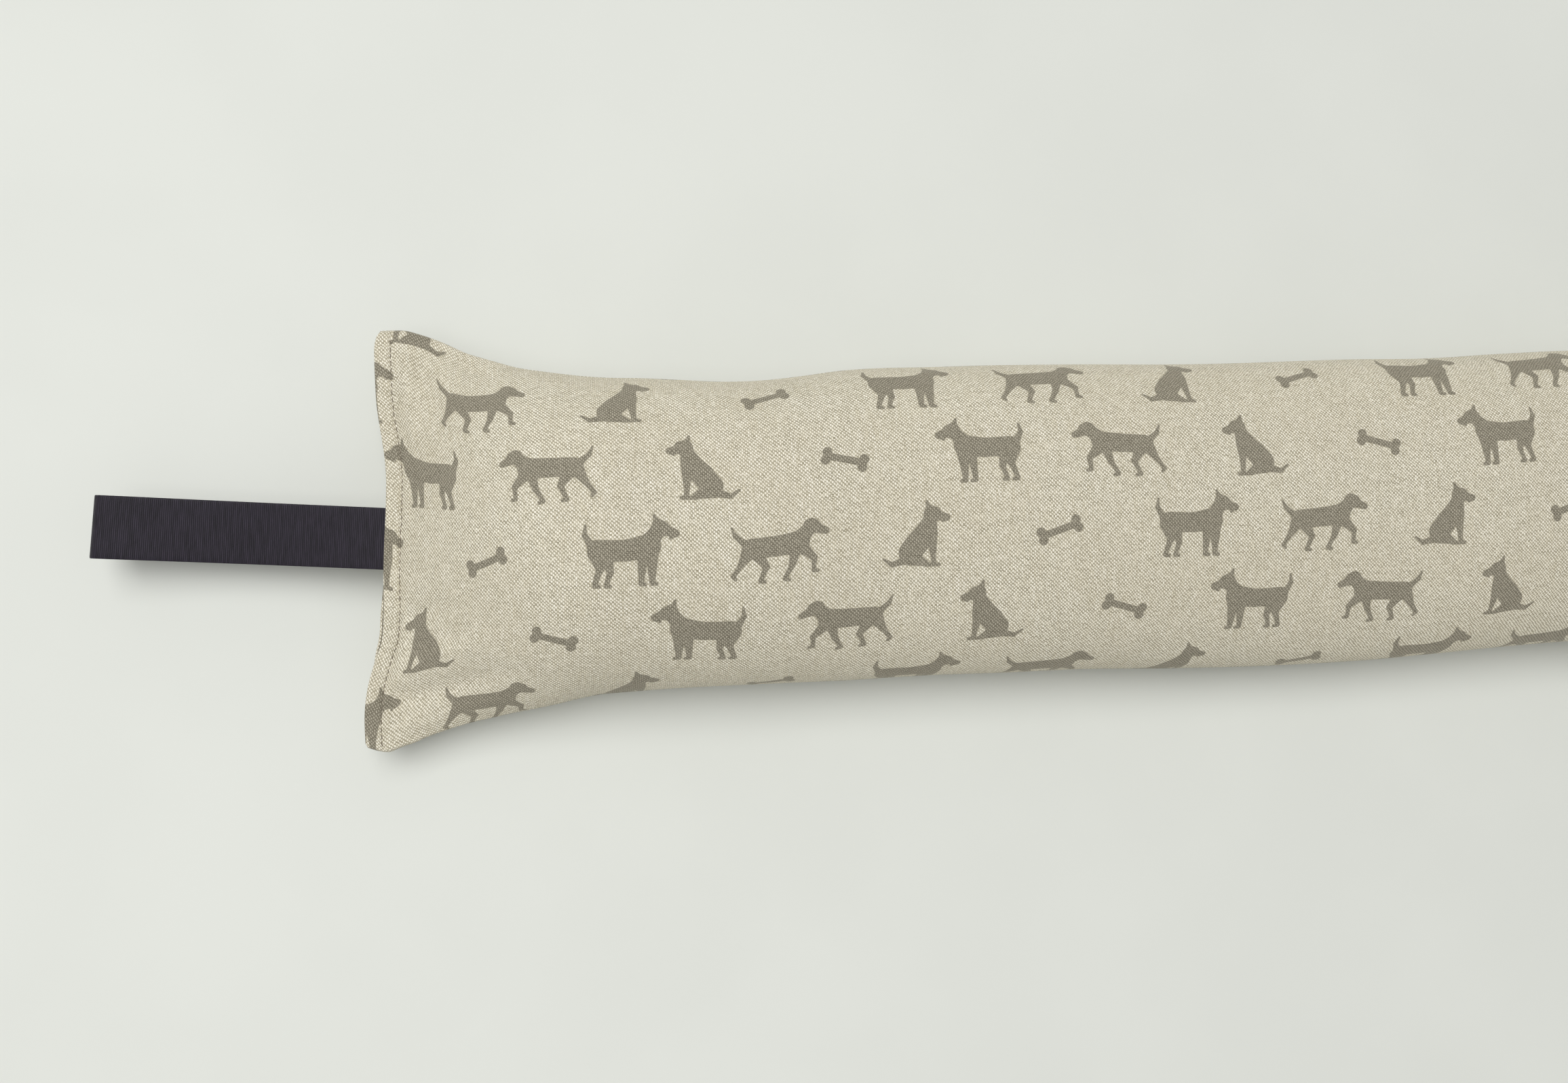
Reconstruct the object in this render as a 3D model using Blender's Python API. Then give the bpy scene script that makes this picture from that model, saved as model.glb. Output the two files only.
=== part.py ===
# Draught excluder: a printed cloth cover filled firm along its whole length,
# closed flat at both ends, with a folded ribbon hanging loop in one end seam.
# Metres. +X runs along the length, the ribbon is at the -X end, +Z is up,
# and the pressed underside lies on z = 0.
import bpy
import bmesh
import numpy as np

# Driving dimensions
LENGTH = 0.900            # flange edge to flange edge
GIRTH = 0.340             # the cloth once round the tube
FLANGE_THICK = 0.0030     # four folded layers of cloth at the flange
STITCH_THICK = 0.0018     # the same layers pulled together by the stitches
SIDE_THICK = 0.0010       # the upright step at the widest line of the tube
SIDE_BULGE = 0.6          # roundness of the folded side edges, share of half their thickness
SEAM_HEIGHT = 0.0310      # middle of the end flange above the ground
SIDE_HEIGHT = 0.0380      # widest line of the filled tube above the ground
CORNER_DROOP = 0.0040     # how far the flange's corners hang below its middle
PRESS_DEPTH = 0.0055      # how far the filling is pressed back by the ground
PRESS_ROUND = 0.0030      # softness of the edge of the pressed underside
LIP_RECESS = 0.0008       # hollow between the two folded lips of the flange
BACK_LIP = 0.0023         # how far the back lip slips out past the front one

RIBBON_WIDTH = 0.0250
RIBBON_THICK = 0.0010
RIBBON_REACH = 0.1120     # flange edge to the fold
RIBBON_DRIFT = 0.0088     # sideways run of the ribbon over its reach
RIBBON_START_Y = 0.0008
SEAM_GAP = 0.0004         # between the ribbon's ends and the flange

ACROSS = 22               # facets over the top, and again under the belly

# Outline of the filled tube from above, in millimetres from the left flange edge
# columns: distance, +Y edge, -Y edge
OUTLINE_LEFT = np.array([
    (-12, 84.6, -83.0), (-9, 84.8, -84.3), (-5, 85.1, -85.6), (-1.5, 85.4, -86.0),
    (1.5, 85.6, -85.0), (4.5, 85.7, -83.9), (7, 85.7, -83.2), (10, 85.6, -82.2),
    (12.5, 85.1, -81.1), (15, 84.3, -80.2), (18, 83.3, -79.3), (21, 82.2, -78.4),
    (25, 80.5, -77.3), (29, 78.6, -76.3), (34, 76.0, -75.2), (40, 73.8, -74.1),
    (47, 71.4, -72.6), (55, 68.8, -71.1), (66, 66.7, -69.0), (75, 65.3, -67.0),
    (84, 64.2, -65.6), (92, 63.6, -65.3), (104, 63.1, -65.1), (120, 61.9, -65.0),
    (137, 60.8, -65.1), (154, 61.1, -65.1), (171, 62.6, -65.1), (189, 64.5, -65.1),
    (206, 65.2, -64.9), (224, 65.3, -64.8), (255, 65.8, -65.2), (292, 65.9, -65.7),
    (330, 65.3, -67.3), (350, 65.2, -67.9), (386, 65.4, -68.5), (406, 65.6, -68.6),
    (428, 65.9, -68.3), (447, 66.1, -67.5), (467, 66.7, -66.7), (489, 67.8, -66.0),
    (510, 68.5, -65.5), (530, 69.0, -65.0), (570, 69.0, -65.0)])

# The same from the right flange edge, where the plain end mirrors the left one
# columns: distance, +Y edge, -Y edge
OUTLINE_RIGHT = np.array([
    (-9, 83.9, -83.6), (-5, 84.8, -84.6), (0, 85.3, -85.3), (5, 85.1, -84.9),
    (10, 83.8, -83.5), (16, 81.8, -81.5), (24, 78.7, -78.9), (32, 75.8, -76.4),
    (45, 72.2, -73.0), (60, 68.8, -69.6), (80, 65.9, -66.1), (100, 64.2, -64.3),
    (125, 63.2, -63.3), (150, 63.4, -63.6), (180, 64.4, -64.9), (220, 65.9, -66.1),
    (270, 66.8, -66.2), (320, 67.9, -65.5), (370, 68.9, -65.0), (410, 69.0, -65.0)])

# Bends of each flange edge: how far the cloth reaches out past the end of the tube
# columns: place across, reach, both in millimetres
REACH_LEFT = np.array([
    (-90, 10.6), (-78, 10.8), (-68, 10.3), (-57, 8.2), (-48, 5.2), (-40, 2.4), (-32, 1.5),
    (-11, 0.7), (0, 0.0), (13, -1.0), (29, -1.5), (36, -1.0), (44, 0.0), (54, 1.2),
    (68, 1.7), (90, 1.7)])
REACH_RIGHT = np.array([
    (-90, 4.6), (-72, 4.2), (-60, 2.6), (-46, 0.9), (-30, 0.1), (0, -0.4), (28, 0.2),
    (44, 1.6), (58, 4.1), (70, 5.8), (90, 6.4)])
REACH_FADE = 0.085        # length over which the reach dies away into the tube

# Rounding of the four corners of the flanges, in millimetres
# columns: width across, length along
CORNER_ROUND = {
    ("left", 1): (11.0, 6.0), ("left", -1): (6.0, 2.4),
    ("right", 1): (6.0, 2.4), ("right", -1): (7.0, 3.0)}

# Rise of the crown and drop of the belly from the flange, in millimetres
# columns: distance from the flange edge, crown rise, belly drop
END_SWELL = np.array([
    (6.5, 0.0, 0.0), (8.0, 1.3, 1.0), (11, 3.8, 3.1), (16, 8.3, 7.2), (22, 13.3, 12.0),
    (30, 19.8, 18.4), (40, 27.0, 26.0), (52, 33.8, 34.2), (66, 39.4, 40.0),
    (82, 43.5, 42.0), (100, 46.0, 42.0)])

# How pointed the section is at its two sides
# columns: distance from the flange edge in millimetres, power
SIDE_POWER = np.array([
    (6.5, 1.35), (20, 1.15), (40, 0.92), (70, 0.68), (100, 0.56), (140, 0.50)])

# Where the rings of the mesh stand, in millimetres from a flange edge
RINGS_LEFT = [0, 0.7, 3.0, 5.4, 6.5, 7.6, 9.5, 13, 17.5, 23, 30, 38, 47, 57, 68, 80, 94,
              110, 127, 145, 165, 187, 211, 237, 265, 295, 326, 357, 388, 419, 450]
RINGS_RIGHT = [0, 0.7, 3.0, 5.4, 6.5, 7.6, 9.5, 13, 17.5, 23, 30, 38, 47, 57, 68, 80, 94,
               110, 127, 145, 167, 193, 223, 257, 295, 333, 372, 411]

# Run of the ribbon from the flange to its fold, in millimetres
# columns: distance, height of its middle, half the space between layer middles
RIBBON_RUN = np.array([
    (0, 30.8, 0.80), (12, 29.4, 0.82), (30, 26.9, 0.95), (50, 25.0, 1.40), (70, 24.6, 2.30),
    (85, 25.1, 3.30), (97, 25.6, 4.10), (104, 25.9, 4.30), (108, 26.0, 4.05)])
FOLD_START = 108.0
FOLD_ROUND = 3.8


def smooth(value):
    value = np.clip(value, 0.0, 1.0)
    return value * value * (3.0 - 2.0 * value)


def table(position, rows, column):
    """Reads a table with smooth slopes between its rows."""
    xs = rows[:, 0]
    ys = rows[:, column]
    slopes = np.gradient(ys, xs)
    position = np.clip(position, xs[0], xs[-1])
    i = np.clip(np.searchsorted(xs, position) - 1, 0, len(xs) - 2)
    span = xs[i + 1] - xs[i]
    t = (position - xs[i]) / span
    start = (2 * t**3 - 3 * t**2 + 1) * ys[i] + (t**3 - 2 * t**2 + t) * span * slopes[i]
    stop = (3 * t**2 - 2 * t**3) * ys[i + 1] + (t**3 - t**2) * span * slopes[i + 1]
    return start + stop


def edges_at(x):
    """The +Y and -Y outline at a place along the length, in metres."""
    left = (x + LENGTH / 2) * 1000
    right = (LENGTH / 2 - x) * 1000
    mix = smooth((left - 500) / 60)
    plus = table(left, OUTLINE_LEFT, 1) * (1 - mix) + table(right, OUTLINE_RIGHT, 1) * mix
    minus = table(left, OUTLINE_LEFT, 2) * (1 - mix) + table(right, OUTLINE_RIGHT, 2) * mix
    return plus / 1000, minus / 1000


def reach_out(end, across, distance):
    """How far points of the cloth stand out along the length, in metres."""
    rows = REACH_LEFT if end == "left" else REACH_RIGHT
    reach = table(across * 1000, rows, 1) * (1 - smooth(distance / REACH_FADE))
    for side in (1, -1):
        width, length = CORNER_ROUND[(end, side)]
        share = np.clip((side * across * 1000 - 86.0 + width) / width, 0, 1)
        rounded = length * (1 - np.sqrt(1 - 0.98 * share**2))
        reach = reach - rounded * (1 - smooth(distance * 1000 / 9.5))
    return reach / 1000


def press(z):
    """Flattens what would lie below the ground into a level underside."""
    soft = (z + PRESS_ROUND)**2 / (4 * PRESS_ROUND)
    return np.where(z < -PRESS_ROUND, 0.0, np.where(z < PRESS_ROUND, soft, z))


def layer_half(distance):
    """Half the thickness of the closed cloth layers at a distance from the edge."""
    mm = distance * 1000
    thick = SIDE_THICK + (FLANGE_THICK - SIDE_THICK) * (1 - smooth((mm - 8) / 40))
    rounding = 0.75 + 0.25 * smooth(mm / 0.7)
    channel = smooth(1 - abs(mm - 6.5) / 1.6)
    return (thick * rounding * (1 - channel) + STITCH_THICK * channel) / 2


def section(distance, share):
    """Middle height, half thickness, form of the crown and height of the belly."""
    mm = distance * 1000
    settle = smooth((mm - 6.5) / 80)
    middle = SEAM_HEIGHT + (SIDE_HEIGHT - SEAM_HEIGHT) * settle
    middle = middle - CORNER_DROOP * (1 - settle) * np.abs(share)**3
    half = layer_half(distance)
    power = np.interp(mm, SIDE_POWER[:, 0], SIDE_POWER[:, 1])
    crown = (1 - np.abs(share)**(2.0 + 0.1 * settle))**power
    belly = (1 - np.abs(share)**(2.0 + 0.6 * settle))**power
    drop = np.interp(mm, END_SWELL[:, 0], END_SWELL[:, 2]) / 1000
    deepest = SIDE_HEIGHT - half + PRESS_DEPTH
    mix = smooth((mm - 60) / 50)
    low = press(middle - half - (drop * (1 - mix) + deepest * mix) * belly)
    return middle, half, crown, low


def crown_rise(distance, half_width):
    """The crown's rise: from the table at the end, from the girth further in."""
    mm = distance * 1000
    near = np.interp(mm, END_SWELL[:, 0], END_SWELL[:, 1]) / 1000
    if mm < 70:
        return near
    share = np.sin(np.linspace(-np.pi / 2, np.pi / 2, 241))
    middle, half, crown, low = section(distance, share)
    across = share * half_width
    under = np.hypot(np.diff(across), np.diff(low)).sum()
    small, large = 0.0, 0.09
    for _ in range(40):
        rise = (small + large) / 2
        over = np.hypot(np.diff(across), np.diff(middle + rise * crown)).sum()
        if under + over + 4 * half < GIRTH:
            small = rise
        else:
            large = rise
    mix = smooth((mm - 70) / 40)
    return near * (1 - mix) + rise * mix


def even_shares(distance, half_width, rise, upper):
    """Shares of the half width that stand at even steps along the cloth."""
    dense = np.sin(np.linspace(-np.pi / 2, np.pi / 2, 721))
    middle, half, crown, low = section(distance, dense)
    z = middle + half + rise * crown if upper else low
    steps = np.hypot(np.diff(dense * half_width), np.diff(z))
    run = np.concatenate([[0.0], np.cumsum(steps)])
    return np.interp(np.linspace(0, run[-1], ACROSS + 1), run, dense)


def place(end, distance, share, z):
    """Points of one row of cloth, with the outline and the flange's bends."""
    sign = 1 if end == "left" else -1
    x = sign * (distance - LENGTH / 2) * np.ones_like(share)
    for _ in range(3):
        plus, minus = edges_at(x)
        span = (plus - minus) / 2 - layer_half(distance) * SIDE_BULGE
        y = (plus + minus) / 2 + span * share
        x = sign * (distance - LENGTH / 2) - sign * reach_out(end, y, distance)
    return np.stack([x, y, z * np.ones_like(share)], axis=1)


def ring(end, distance):
    """One ring of the cover: over the top from -Y to +Y, then back underneath."""
    sign = 1 if end == "left" else -1
    plus, minus = edges_at(np.array([sign * (distance - LENGTH / 2)]))
    half_width = float(plus[0] - minus[0]) / 2
    rise = crown_rise(distance, half_width)
    over = even_shares(distance, half_width, rise, True)
    under = even_shares(distance, half_width, rise, False)[::-1]
    middle, half, crown, _ = section(distance, over)
    top = place(end, distance, over, middle + half + rise * crown)
    low = place(end, distance, under, section(distance, under)[3])
    mm = low[:, 1] * 1000
    slip = smooth((-mm - 14) / 10) * smooth((50 + mm) / 12)
    fade = 1 - smooth(distance * 1000 / 5.4)
    low[:, 0] -= sign * BACK_LIP * slip * fade
    bulge = np.array([0, half * SIDE_BULGE, 0])
    right = (top[-1] + low[0]) / 2 + bulge
    left = (top[0] + low[-1]) / 2 - bulge
    return np.concatenate([top, [right], low, [left]])


def close_end(bm, loop, sign):
    """The folded lips of a flange: a shallow hollow between two rows of cloth."""
    n = ACROSS
    top = loop[:n + 1]
    low = loop[n + 2:2 * n + 3][::-1]
    middle = [loop[2 * n + 3]]
    for a, b in zip(top[1:n], low[1:n]):
        co = (a.co + b.co) / 2
        co.x = sign * (max(sign * a.co.x, sign * b.co.x) + LIP_RECESS)
        middle.append(bm.verts.new(co))
    middle.append(loop[n + 1])
    for i in range(n):
        bm.faces.new((top[i], top[i + 1], middle[i + 1], middle[i]))
        bm.faces.new((middle[i], middle[i + 1], low[i + 1], low[i]))


def finish(bm, name, colour, roughness):
    """Turns a built mesh into a named object with its own material."""
    bmesh.ops.triangulate(bm, faces=bm.faces[:])
    bmesh.ops.recalc_face_normals(bm, faces=bm.faces[:])
    mesh = bpy.data.meshes.new(name)
    bm.to_mesh(mesh)
    bm.free()
    made = bpy.data.objects.new(name, mesh)
    bpy.context.scene.collection.objects.link(made)
    material = bpy.data.materials.new(name)
    material.use_nodes = True
    shader = material.node_tree.nodes["Principled BSDF"]
    shader.inputs["Base Color"].default_value = (*colour, 1.0)
    shader.inputs["Roughness"].default_value = roughness
    shader.inputs["Metallic"].default_value = 0.0
    mesh.materials.append(material)
    for face in mesh.polygons:
        face.use_smooth = True
    return made


def skin(bm, loops):
    """Quads between neighbouring closed loops of vertices."""
    count = len(loops[0])
    for a, b in zip(loops, loops[1:]):
        for i in range(count):
            j = (i + 1) % count
            bm.faces.new((a[i], a[j], b[j], b[i]))


def build_cover():
    """The filled cover: rings of cloth joined from end to end, closed at both."""
    rings = [ring("left", d / 1000) for d in RINGS_LEFT]
    rings += [ring("right", d / 1000) for d in reversed(RINGS_RIGHT)]
    bm = bmesh.new()
    loops = [[bm.verts.new(p) for p in points] for points in rings]
    skin(bm, loops)
    close_end(bm, loops[0], 1)
    close_end(bm, loops[-1], -1)
    return finish(bm, "cover", (0.52, 0.49, 0.39), 0.9)


def ribbon_line():
    """Middle of the ribbon's thickness, out over the top and back underneath."""
    rows = np.linspace(0, FOLD_START, 26)
    height = table(rows, RIBBON_RUN, 1)
    space = table(rows, RIBBON_RUN, 2)
    over = np.stack([rows, height + space], axis=1)
    back = np.stack([rows, height - space], axis=1)[::-1]
    angle = np.linspace(np.pi / 2, -np.pi / 2, 11)[1:-1]
    turn = np.stack([FOLD_START + FOLD_ROUND * np.cos(angle),
                     height[-1] + space[-1] * np.sin(angle)], axis=1)
    return np.concatenate([over, turn, back]) / 1000


def build_ribbon():
    """The hanging loop: one ribbon folded back on itself, its layers a little apart."""
    line = ribbon_line()
    step = np.gradient(line, axis=0)
    step /= np.linalg.norm(step, axis=1)[:, None]
    side = np.stack([-step[:, 1], step[:, 0]], axis=1) * RIBBON_THICK / 2
    angle = np.arctan2(RIBBON_DRIFT, RIBBON_REACH)
    n = len(line)
    bm = bmesh.new()
    rows = []
    for share in (-1.0, -0.94, 0.0, 0.94, 1.0):
        thin = 0.6 if abs(share) == 1 else 1.0
        outline = np.concatenate([line + side * thin, (line - side * thin)[::-1]])
        across = share * RIBBON_WIDTH / 2
        root = reach_out("left", np.array([RIBBON_START_Y + across]), 0.0)[0]
        row = []
        for reach, height in outline:
            along = reach / RIBBON_REACH
            square = smooth(reach / 0.06)
            x = -LENGTH / 2 - SEAM_GAP - reach * np.cos(angle)
            x -= root * (1 - square)
            x += square * np.sin(angle) * across + 0.0004 * share * along
            y = RIBBON_START_Y + reach * np.sin(angle) + np.cos(angle) * across
            tilt = 0.0008 * share * np.sin(np.pi * min(max(along, 0), 1))
            row.append(bm.verts.new((x, y, height + tilt)))
        rows.append(row)
    skin(bm, rows)
    for row in (rows[0], rows[-1]):
        for i in range(n - 1):
            bm.faces.new((row[i], row[i + 1], row[2 * n - 2 - i], row[2 * n - 1 - i]))
    return finish(bm, "hanging_loop", (0.036, 0.031, 0.040), 0.55)


for old in list(bpy.data.objects):
    bpy.data.objects.remove(old, do_unlink=True)
build_cover()
build_ribbon()
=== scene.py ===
import bmesh
import bpy
import numpy as np
from mathutils import Matrix, Vector


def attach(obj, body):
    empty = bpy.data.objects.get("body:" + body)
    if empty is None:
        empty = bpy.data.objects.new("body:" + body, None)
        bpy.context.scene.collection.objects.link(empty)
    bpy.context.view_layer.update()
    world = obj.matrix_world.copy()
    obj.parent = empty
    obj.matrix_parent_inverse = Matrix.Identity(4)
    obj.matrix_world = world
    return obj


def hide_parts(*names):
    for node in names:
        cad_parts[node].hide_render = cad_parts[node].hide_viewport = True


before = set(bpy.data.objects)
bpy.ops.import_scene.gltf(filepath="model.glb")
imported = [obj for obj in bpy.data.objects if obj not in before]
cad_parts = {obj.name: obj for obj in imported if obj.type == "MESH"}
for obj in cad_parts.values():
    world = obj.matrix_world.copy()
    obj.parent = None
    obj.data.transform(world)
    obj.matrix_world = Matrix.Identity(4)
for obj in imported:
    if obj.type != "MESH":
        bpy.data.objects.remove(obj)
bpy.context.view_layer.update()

# %% [markdown]
# # A filled draught excluder
# A tube of printed linen-look cloth is filled firm, closed flat at both ends with
# a row of topstitching, and carries a folded ribbon loop in its left end seam.
# The frame loaded above is the plain solid model. Each cell below adds one piece
# or one finish to it, in metres, in the same place.
#
# The camera comes first, because every later choice is judged through it. It
# hangs above the left part of the tube. A camera could be aimed by a constraint,
# but a matrix made from its three axes states its small turns exactly.

# %% The camera
CAMERA_PLACE = Vector((-0.36847, -0.00610, 0.57782))
CAMERA_TIP = np.radians(8.5)
CAMERA_ROLL = np.arctan2(62, 1725)
LENS_MM = 30.0


def make_camera():
    """A camera that looks down on the cloth, tipped along it and rolled a little."""
    along = Vector((np.cos(CAMERA_TIP), 0, np.sin(CAMERA_TIP)))
    across = Vector((0, 1, 0))
    ahead = Vector((np.sin(CAMERA_TIP), 0, -np.cos(CAMERA_TIP)))
    right = along * np.cos(CAMERA_ROLL) - across * np.sin(CAMERA_ROLL)
    up = along * np.sin(CAMERA_ROLL) + across * np.cos(CAMERA_ROLL)
    data = bpy.data.cameras.new("camera")
    data.lens = LENS_MM
    data.sensor_width = 36.0
    data.clip_start = 0.01
    camera = bpy.data.objects.new("camera", data)
    axes = Matrix((right, up, -ahead)).transposed().to_4x4()
    camera.matrix_world = Matrix.Translation(CAMERA_PLACE) @ axes
    bpy.context.scene.collection.objects.link(camera)
    bpy.context.scene.camera = camera


make_camera()
print("camera stands", round(CAMERA_PLACE.z, 3), "m above the floor")

# %% [markdown]
# ## Colours and shader maths
# Colours are easiest to note as screen values from 0 to 255, but shaders work
# with linear light, so a helper turns one into the other. The maths of a weave
# takes dozens of nodes. Typed out one by one they hide the idea, so a small
# class wraps a socket and lets plain sums build the nodes.

# %% Colours and a class for shader maths


def screen(red, green, blue):
    """A colour given as screen values, turned into linear light."""
    share = np.array([red, green, blue]) / 255
    linear = np.where(share <= 0.04045, share / 12.92, ((share + 0.055) / 1.055)**2.4)
    return (*[float(v) for v in linear], 1.0)


def sums(operation, swapped=False):
    """One operator of the class below, which adds a Math node."""
    def act(self, other):
        return self.maths(operation, *((other, self) if swapped else (self, other)))
    return act


class Wire:
    """One socket of a material's nodes, ready to be used in sums."""

    __add__ = __radd__ = sums("ADD")
    __sub__ = sums("SUBTRACT")
    __rsub__ = sums("SUBTRACT", swapped=True)
    __mul__ = __rmul__ = sums("MULTIPLY")
    __truediv__ = sums("DIVIDE")
    __mod__ = sums("FLOORED_MODULO")
    __pow__ = sums("POWER")

    def __init__(self, tree, socket=None):
        self.tree = tree
        self.socket = socket

    def node(self, kind, settings, inputs, output=0):
        """Adds a node: its settings first, then the values or links of its sockets."""
        made = self.tree.nodes.new(kind)
        for key, value in settings.items():
            setattr(made, key, value)
        for key, value in inputs.items():
            if isinstance(value, Wire):
                self.tree.links.new(value.socket, made.inputs[key])
            else:
                made.inputs[key].default_value = value
        return Wire(self.tree, made.outputs[output])

    def maths(self, operation, *values, clamp=False):
        settings = {"operation": operation, "use_clamp": clamp}
        return self.node("ShaderNodeMath", settings, dict(enumerate(values)))

    def vector(self, operation, *values, output=0):
        return self.node("ShaderNodeVectorMath", {"operation": operation},
                         dict(enumerate(values)), output)

    def __abs__(self):
        return self.maths("ABSOLUTE", self)

    def floor(self):
        return self.maths("FLOOR", self)

    def ramp(self, start, stop):
        """0 before start, 1 past stop, smooth between, whichever is larger."""
        return self.node("ShaderNodeMapRange", {"interpolation_type": "SMOOTHSTEP"},
                         {"Value": self, "From Min": start, "From Max": stop})

    def blend(self, first, second):
        """first where this value is 0, second where it is 1, numbers alone."""
        return self.node("ShaderNodeMix", {"data_type": "FLOAT"},
                         {0: self, 2: first, 3: second})

    def tint(self, first, second):
        """The same for two colours."""
        return self.node("ShaderNodeMix", {"data_type": "RGBA"},
                         {0: self, 6: first, 7: second}, 2)

    def point(self, x, y, z=0.0):
        return self.node("ShaderNodeCombineXYZ", {}, {0: x, 1: y, 2: z})

    def flat_place(self):
        """The two flat coordinates that the mesh keeps in its UV map "cloth"."""
        uv = self.node("ShaderNodeUVMap", {"uv_map": "cloth"}, {})
        return [self.node("ShaderNodeSeparateXYZ", {}, {0: uv}, axis) for axis in "XY"]

    def noise(self, place, scale, detail=2.0):
        return self.node("ShaderNodeTexNoise", {},
                         {"Vector": place, "Scale": scale, "Detail": detail})


def new_material(name, **constants):
    """A material with its own Principled shader, and a Wire to build on."""
    material = bpy.data.materials.new(name)
    material.use_nodes = True
    tree = material.node_tree
    shader = tree.nodes["Principled BSDF"]
    for key, value in constants.items():
        shader.inputs[key.replace("_", " ")].default_value = value
    return material, shader, Wire(tree)


def plug(shader, key, wire):
    wire.tree.links.new(wire.socket, shader.inputs[key])


print("the cloth's mid colour in linear light:", [round(v, 3) for v in screen(200, 195, 176)])

# %% [markdown]
# ## Floor and light
# The cushion lies on a pale, almost white sheet. A plain white plane would look
# dead flat, so the floor gets a barely visible mottle. It fades out a few metres
# away, where a horizon would otherwise cut the view.

# %% The floor
FLOOR_LIGHT = screen(216, 218, 212)
FLOOR_DARK = screen(214, 216, 210)
FLOOR_HALF = 30.0
FLOOR_DROP = 0.0002       # so the floor and the level underside don't share a plane


def make_floor():
    mesh = bpy.data.meshes.new("floor")
    corners = [(x * FLOOR_HALF, y * FLOOR_HALF, -FLOOR_DROP)
               for x, y in ((-1, -1), (1, -1), (1, 1), (-1, 1))]
    mesh.from_pydata(corners, [], [(0, 1, 2, 3)])
    floor = bpy.data.objects.new("floor", mesh)
    bpy.context.scene.collection.objects.link(floor)
    material, shader, wire = new_material("pale_floor", Roughness=0.9)
    spot = wire.node("ShaderNodeTexCoord", {}, {}, "Object")
    mottle = wire.noise(spot, 9.0, 3.0).ramp(0.35, 0.65)
    plug(shader, "Base Color", mottle.tint(FLOOR_DARK, FLOOR_LIGHT))
    far = spot.vector("LENGTH", spot, output=1)
    plug(shader, "Alpha", 1 - far.ramp(3.0, 10.0))
    mesh.materials.append(material)
    return floor


floor = make_floor()
print("floor side in metres:", floor.dimensions.x)

# %% [markdown]
# A single sun would draw hard shadows. A big softbox far off gives soft ones and
# lights the sheet evenly, and a small one close above the left end lets the light
# fall off towards the right. The room round them is darker overhead and as pale
# as the floor low down, so the floor has no visible end in a low view.

# %% The lights
LAMPS = [  # name, place, aimed at, side in metres, watts
    ("far_softbox", (-2.10, 4.60, 15.0), (-0.40, 0.0, 0.0), 8.4, 1560.0),
    ("near_softbox", (-0.66, 0.05, 0.95), (-0.66, 0.05, 0.0), 0.50, 1.9)]
ROOM_COLOUR = screen(254, 254, 252)
ROOM_OVERHEAD = 0.37
ROOM_LOW = 0.64


def make_lamp(name, place, aim, side, watts):
    data = bpy.data.lights.new(name, "AREA")
    data.shape = "SQUARE"
    data.size = side
    data.energy = watts
    lamp = bpy.data.objects.new(name, data)
    lamp.location = place
    lamp.rotation_euler = (Vector(aim) - Vector(place)).to_track_quat("-Z", "Y").to_euler()
    lamp.visible_camera = False
    bpy.context.scene.collection.objects.link(lamp)


def make_room():
    world = bpy.data.worlds.new("soft_room")
    world.use_nodes = True
    room = world.node_tree.nodes["Background"]
    room.inputs["Color"].default_value = ROOM_COLOUR
    wire = Wire(world.node_tree)
    direction = wire.node("ShaderNodeTexCoord", {}, {}, "Generated")
    up = wire.node("ShaderNodeSeparateXYZ", {}, {0: direction}, "Z")
    plug(room, "Strength", up.ramp(0.05, 0.65).blend(ROOM_LOW, ROOM_OVERHEAD))
    bpy.context.scene.world = world
    bpy.context.scene.view_settings.view_transform = "Standard"


for row in LAMPS:
    make_lamp(*row)
make_room()
print("lamps:", [row[0] for row in LAMPS])

# %% [markdown]
# ## The form of the filled cover
# A filled tube of cloth that is closed flat at its ends takes a form with rules:
# the cloth round it keeps its length, the filling makes it as round as the flat
# end lets it, and its weight presses the underside level. A cloth simulation
# finds such a form too, but its outline would drift from the real one. Here the
# outline is a table of measured widths, in millimetres from a flange edge.

# %% Sizes and outline of the cover
LENGTH = 0.900            # flange edge to flange edge
GIRTH = 0.340             # the cloth once round the tube
FLANGE_THICK = 0.0030     # folded layers of cloth at the flange
STITCH_THICK = 0.0018     # the same layers pulled together by the stitches
SIDE_THICK = 0.0010       # the step at the widest line of the tube
SIDE_BULGE = 0.6
SEAM_HEIGHT = 0.0310
SIDE_HEIGHT = 0.0380
CORNER_DROOP = 0.0040
PRESS_DEPTH = 0.0055
PRESS_ROUND = 0.0030
BACK_LIP = 0.0015         # how far the back lip slips out past the front one
BACK_SAG = 0.0003         # and how far it hangs below it there
REACH_FADE = 0.085
CHANNEL_MM = 6.5          # the row of stitches, from the flange's edge
SIGN = {"left": 1, "right": -1}

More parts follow.
